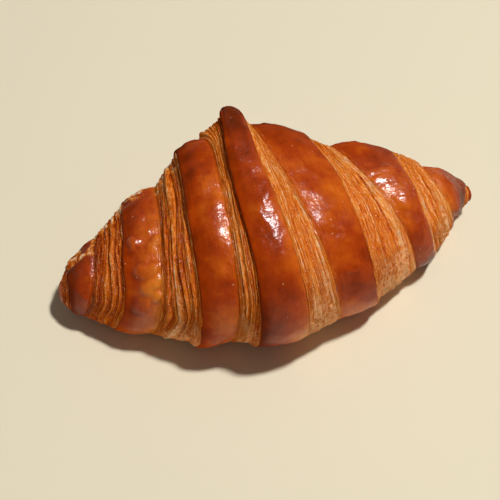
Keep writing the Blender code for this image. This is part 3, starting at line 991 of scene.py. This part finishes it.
def buildCroissant():
    turn = ringTurns()
    plain = placePoints(wholeGrid(turn, 0.0), turn, 0.0)
    grid = wholeGrid(turn, 1.0)
    grid["girth"] = turn[:, None] * 2 * math.pi * halfWidth(grid["x"])
    smooth = placePoints(grid, turn, 0.0)
    flakeRims(grid, smooth, turn)
    points = placePoints(grid, turn, crustRelief(grid, smooth, turn))
    grid["brownAndShade"] = crustBrowningAndShading(grid, smooth, turn)
    grid["crumb"], grid["shine"] = crumbAndShine(grid, smooth, turn)
    low, high = (np.array(corner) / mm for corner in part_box("croissant"))
    middle = (plain.reshape(-1, 3).min(axis=0) + plain.reshape(-1, 3).max(axis=0)) / 2
    offset = np.array([(low + high)[0] / 2 - middle[0], (low + high)[1] / 2 - middle[1], 0.0])
    points = np.clip(points + offset, low, high) * mm
    piece = bpy.data.objects.new("croissant_crust", croissantMesh("croissant_crust", grid, points))
    bpy.context.scene.collection.objects.link(piece)
    piece.data.materials.append(crustMaterial())
    print("crust", len(piece.data.vertices), "points")
    return piece, offset * mm


floorLook = {"radius": 3.0, "sides": 96, "color": (0.80, 0.74, 0.58), "roughness": 0.8}


def buildFloor():
    mesh = bpy.data.meshes.new("floor")
    bm = bmesh.new()
    bmesh.ops.create_circle(bm, cap_ends=True, segments=floorLook["sides"], radius=floorLook["radius"])
    bm.to_mesh(mesh)
    bm.free()
    floor = bpy.data.objects.new("floor", mesh)
    bpy.context.scene.collection.objects.link(floor)
    material = bpy.data.materials.new("pale_floor")
    material.use_nodes = True
    tree = material.node_tree
    shader = tree.nodes["Principled BSDF"]
    feed(tree, shader.inputs["Base Color"], floorLook["color"])
    feed(tree, shader.inputs["Roughness"], floorLook["roughness"])
    feed(tree, shader.inputs["Specular IOR Level"], 0.0)
    mesh.materials.append(material)


# The key gives light and shadow, and the gleam the highlights of the glaze alone.
studio = {
    "key": {"from": (0.28, -0.1, 1.0), "away": 1.5, "size": 0.14, "power": 20.0, "color": (1, 0.97, 0.92)},
    "gleam": {"from": (0.42, 0.13, 1.0), "away": 1.5, "size": 0.12, "power": 54.0, "color": (1, 1, 1)},
    "skyColor": (1.0, 0.92, 0.81),
    "ceiling": 0.11,  # how bright the room is overhead
    "walls": 0.3,  # and at the level of the table
    "wallTops": (0.05, 0.65),  # where the one runs into the other
}


def areaLight(name):
    design = studio[name]
    data = bpy.data.lights.new(name, "AREA")
    data.shape = "DISK"
    data.size = design["size"]
    data.energy = design["power"]
    data.color = design["color"]
    light = bpy.data.objects.new(name, data)
    bpy.context.scene.collection.objects.link(light)
    towards = Vector(design["from"]).normalized()
    light.location = towards * design["away"]
    light.rotation_euler = towards.to_track_quat("Z", "Y").to_euler()
    return light


def buildStudio():
    key = areaLight("key")
    key.visible_glossy = False
    gleam = areaLight("gleam")
    gleam.visible_diffuse = False
    gleam.visible_transmission = False
    world = bpy.data.worlds.new("studio")
    bpy.context.scene.world = world
    world.use_nodes = True
    tree = world.node_tree
    sky = tree.nodes["Background"]
    feed(tree, sky.inputs["Color"], studio["skyColor"])
    upward = splitNode(tree, tree.nodes.new("ShaderNodeTexCoord").outputs["Generated"])["Z"]
    strength = mapRange(tree, upward, *studio["wallTops"], studio["walls"], studio["ceiling"], smooth=True)
    feed(tree, sky.inputs["Strength"], strength)
    bpy.context.scene.view_settings.view_transform = "Standard"


view = {
    "azimuth": -15.5,
    "elevation": 53.0,
    "away": 0.60,
    "target": (-0.00703, 0.0, 0.0142),
    "lens": 114.3,
    "sensor": 36,
}


def buildCamera(offset):
    azimuth, elevation = math.radians(view["azimuth"]), math.radians(view["elevation"])
    back = Vector((
        math.sin(azimuth) * math.cos(elevation),
        -math.cos(azimuth) * math.cos(elevation),
        math.sin(elevation),
    ))
    data = bpy.data.cameras.new("camera")
    data.lens = view["lens"]
    data.sensor_width = view["sensor"]
    camera = bpy.data.objects.new("camera", data)
    bpy.context.scene.collection.objects.link(camera)
    camera.location = Vector(view["target"]) + Vector(offset) + back * view["away"]
    camera.rotation_euler = back.to_track_quat("Z", "Y").to_euler()
    bpy.context.scene.camera = camera


croissant, offset = buildCroissant()
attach(croissant, "root")
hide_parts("croissant")
buildFloor()
buildStudio()
buildCamera(offset)
print("floor, light and camera ready")
